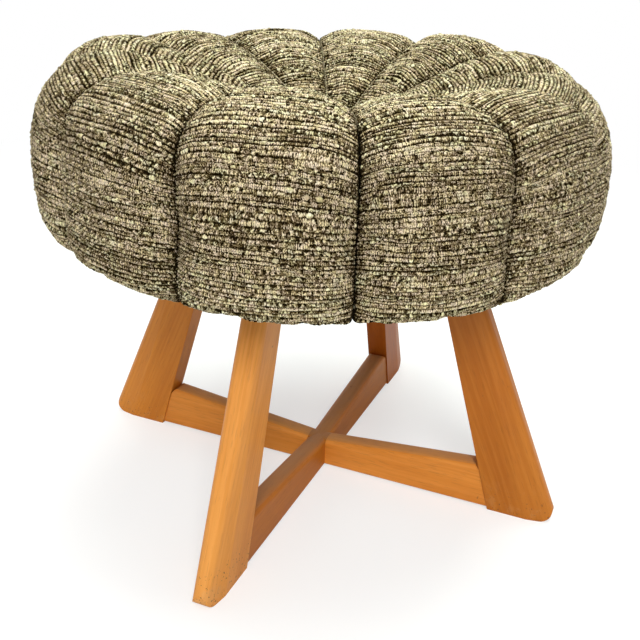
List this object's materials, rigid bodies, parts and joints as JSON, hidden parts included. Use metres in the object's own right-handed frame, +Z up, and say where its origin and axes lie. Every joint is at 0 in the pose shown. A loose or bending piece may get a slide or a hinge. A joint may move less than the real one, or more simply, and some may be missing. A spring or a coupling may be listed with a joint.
{
  "type": "round tufted stool",
  "caption": "Low round stool with a cushion sewn into stuffed channels drawn to its centre, on four splayed slab legs tied by crossed stretchers.",
  "frame": {"origin": "on the floor, under the middle of the seat", "axes": "+Z up; the legs stand along +X, +Y, -X and -Y, and the pictured front is the -Y leg turned a little to the left"},
  "size_m": [0.5426, 0.5434, 0.4538],
  "materials": {
    "leg_wood": "satin lacquered honey-coloured birch",
    "rail_wood": "plain planed hardwood",
    "dowel_wood": "fluted beech, unfinished",
    "plywood": "unfinished plywood",
    "boucle_cloth": "ribbed boucle tweed, matte",
    "wadding": "cotton wadding, matte",
    "black_cloth": "woven dust cloth, matte",
    "jute_twine": "twisted twine, matte",
    "steel": "plain steel"
  },
  "bodies": {
    "root": {"leg_right": "leg_wood", "leg_back": "leg_wood", "leg_left": "leg_wood", "leg_front": "leg_wood", "stretcher_under": "leg_wood", "stretcher_over": "leg_wood", "stretcher_dowels": "dowel_wood", "seat_rail_under": "rail_wood", "seat_rail_over": "rail_wood", "seat_rail_dowels": "dowel_wood", "seat_screws": "steel", "dust_cover": "black_cloth", "dust_cover_tacks": "steel", "cover_hem": "boucle_cloth", "hem_tacks": "steel", "seat_board": "plywood", "padding_core": "wadding", "button_twine": "jute_twine", "twine_washer": "steel", "button_back": "steel", "centre_button": "boucle_cloth", "channel_01": "boucle_cloth", "channel_02": "boucle_cloth", "channel_03": "boucle_cloth", "channel_04": "boucle_cloth", "channel_05": "boucle_cloth", "channel_06": "boucle_cloth", "channel_07": "boucle_cloth", "channel_08": "boucle_cloth", "channel_09": "boucle_cloth", "channel_10": "boucle_cloth", "channel_11": "boucle_cloth", "channel_12": "boucle_cloth"}
  },
  "joints": []
}
